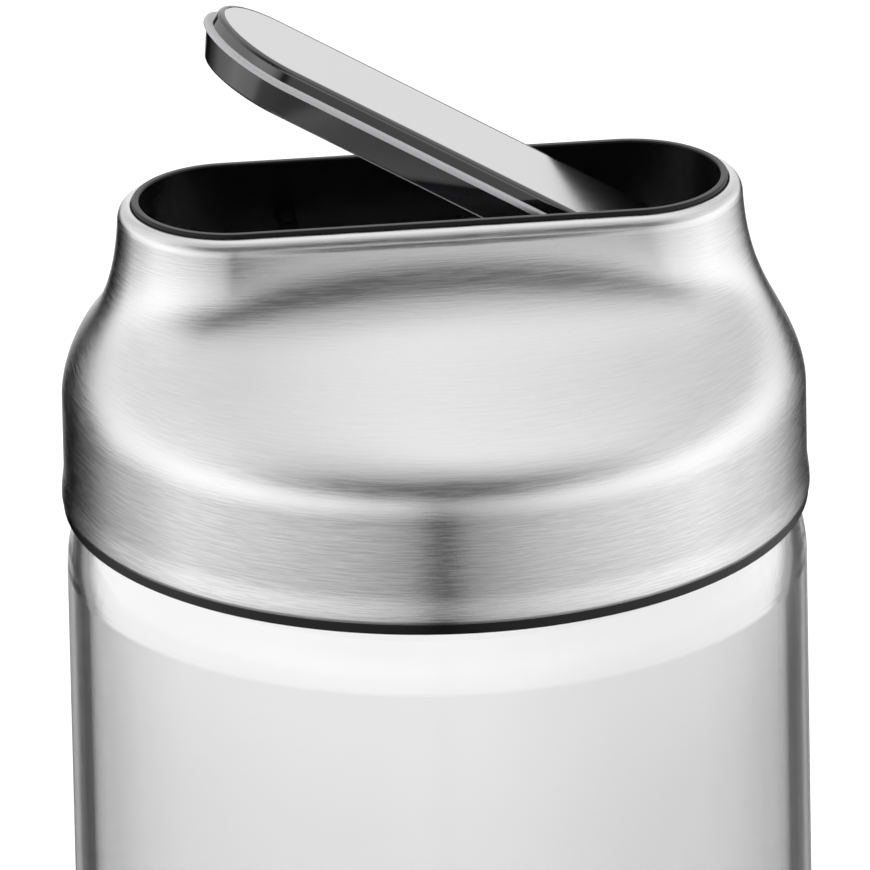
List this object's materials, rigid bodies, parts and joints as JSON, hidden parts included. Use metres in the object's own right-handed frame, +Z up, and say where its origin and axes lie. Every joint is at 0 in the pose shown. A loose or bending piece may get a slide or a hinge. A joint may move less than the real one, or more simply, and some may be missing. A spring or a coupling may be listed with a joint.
{
  "type": "sugar dispenser",
  "caption": "Round glass sugar jar with a screw-on brushed steel cap whose oval mouth is closed by a rocking flap.",
  "frame": {"origin": "centre of the jar's standing face", "axes": "+Z up along the jar's axis, +X along the oval mouth towards the flap's short, pressed end, the spout end at -X"},
  "size_m": [0.078, 0.0778, 0.1446],
  "materials": {
    "clear_glass": "clear, polished",
    "silicone": "translucent silicone",
    "black_plastic": "satin gloss",
    "brushed_steel": "brushed round the cap",
    "pin_steel": "ground",
    "plate_steel": "fine satin",
    "seal_rubber": "smooth light grey",
    "flap_plastic": "gloss"
  },
  "bodies": {
    "jar": {"glass_jar": "clear_glass"},
    "seal": {"rim_gasket": "silicone"},
    "cap": {"threaded_insert": "black_plastic", "cap_shell": "brushed_steel", "mouth_funnel": "black_plastic", "hinge_pin": "pin_steel"},
    "flap": {"flap_plate": "plate_steel", "flap_seal": "seal_rubber", "flap_carrier": "flap_plastic", "flap_base": "flap_plastic"}
  },
  "joints": [
    {"name": "cap_turn", "type": "hinge", "parent": "jar", "child": "seal", "pos_m": [0, 0, 0.10201], "axis": [0, 0, 1], "range_deg": [0, 240]},
    {"name": "cap_lift", "type": "slide", "parent": "seal", "child": "cap", "axis": [0, 0, 1], "range_m": [0, 0.00801]},
    {"name": "flap_swing", "type": "hinge", "parent": "cap", "child": "flap", "pos_m": [0.012, 0, 0.12056], "axis": [0, 1, 0], "range_deg": [-31, 39]}
  ],
  "couplings": [
    {"joint": "cap_lift", "follows": "cap_turn", "m_per_rad": 0.0019099}
  ]
}
